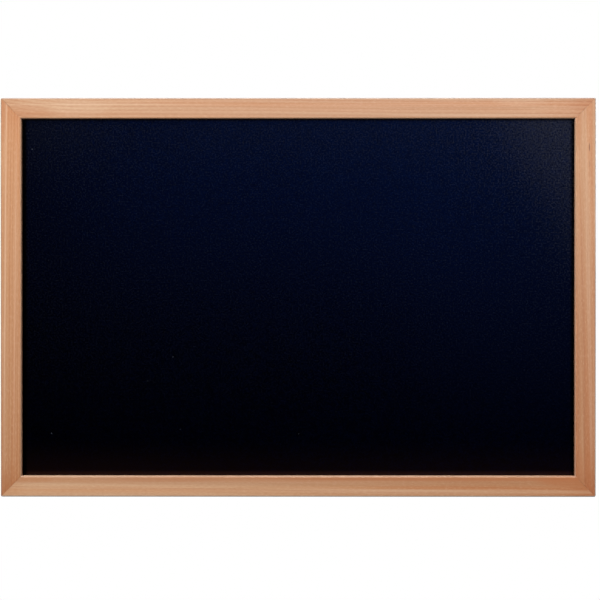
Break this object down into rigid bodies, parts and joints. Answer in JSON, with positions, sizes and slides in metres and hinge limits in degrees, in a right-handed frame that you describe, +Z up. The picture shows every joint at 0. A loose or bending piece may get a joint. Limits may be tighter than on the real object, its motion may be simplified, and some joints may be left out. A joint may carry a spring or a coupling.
{
  "type": "wall chalkboard",
  "caption": "Black writing board in a mitred softwood frame, with swinging D-ring hangers and rubber bumpers on the back.",
  "frame": {"origin": "on the wall plane, midway between the two wall hooks, at the height where the rings hang on them", "axes": "+X to the viewer's right along the board, +Y into the wall, +Z up; the writing surface faces -Y"},
  "size_m": [0.6, 0.02, 0.402],
  "materials": {
    "pine": "satin clear lacquer on light softwood",
    "lacquered_board": "black chalk lacquer with a fine orange-peel texture on 3 mm hardboard",
    "zinc_plate": "bright zinc plate",
    "bright_steel": "bare rolled steel",
    "rubber": "matt black"
  },
  "bodies": {
    "board": {"frame_rail_top": "pine", "frame_rail_bottom": "pine", "frame_stile_left": "pine", "frame_stile_right": "pine", "writing_panel": "lacquered_board", "corner_nail_top_left_1": "bright_steel", "corner_nail_top_left_2": "bright_steel", "corner_nail_top_right_1": "bright_steel", "corner_nail_top_right_2": "bright_steel", "corner_nail_bottom_left_1": "bright_steel", "corner_nail_bottom_left_2": "bright_steel", "corner_nail_bottom_right_1": "bright_steel", "corner_nail_bottom_right_2": "bright_steel", "framing_point_top_1": "bright_steel", "framing_point_top_2": "bright_steel", "framing_point_top_3": "bright_steel", "framing_point_top_4": "bright_steel", "framing_point_top_5": "bright_steel", "framing_point_bottom_1": "bright_steel", "framing_point_bottom_2": "bright_steel", "framing_point_bottom_3": "bright_steel", "framing_point_bottom_4": "bright_steel", "framing_point_bottom_5": "bright_steel", "framing_point_left_1": "bright_steel", "framing_point_left_2": "bright_steel", "framing_point_left_3": "bright_steel", "framing_point_right_1": "bright_steel", "framing_point_right_2": "bright_steel", "framing_point_right_3": "bright_steel", "hanger_strap_left": "zinc_plate", "hanger_strap_right": "zinc_plate", "hanger_screw_left_upper": "zinc_plate", "hanger_screw_left_lower": "zinc_plate", "hanger_screw_right_upper": "zinc_plate", "hanger_screw_right_lower": "zinc_plate", "wall_bumper_top_left": "rubber", "wall_bumper_top_right": "rubber", "wall_bumper_bottom_left": "rubber", "wall_bumper_bottom_right": "rubber"},
    "ring_left": {"hanger_ring_left": "zinc_plate"},
    "ring_right": {"hanger_ring_right": "zinc_plate"}
  },
  "joints": [
    {"name": "ring_left_swing", "type": "hinge", "parent": "board", "child": "ring_left", "pos_m": [-0.2925, -0.0021, -0.01208], "axis": [-1, 0, 0], "range_deg": [0, 182]},
    {"name": "ring_right_swing", "type": "hinge", "parent": "board", "child": "ring_right", "pos_m": [0.2925, -0.0021, -0.01208], "axis": [-1, 0, 0], "range_deg": [0, 182]}
  ]
}
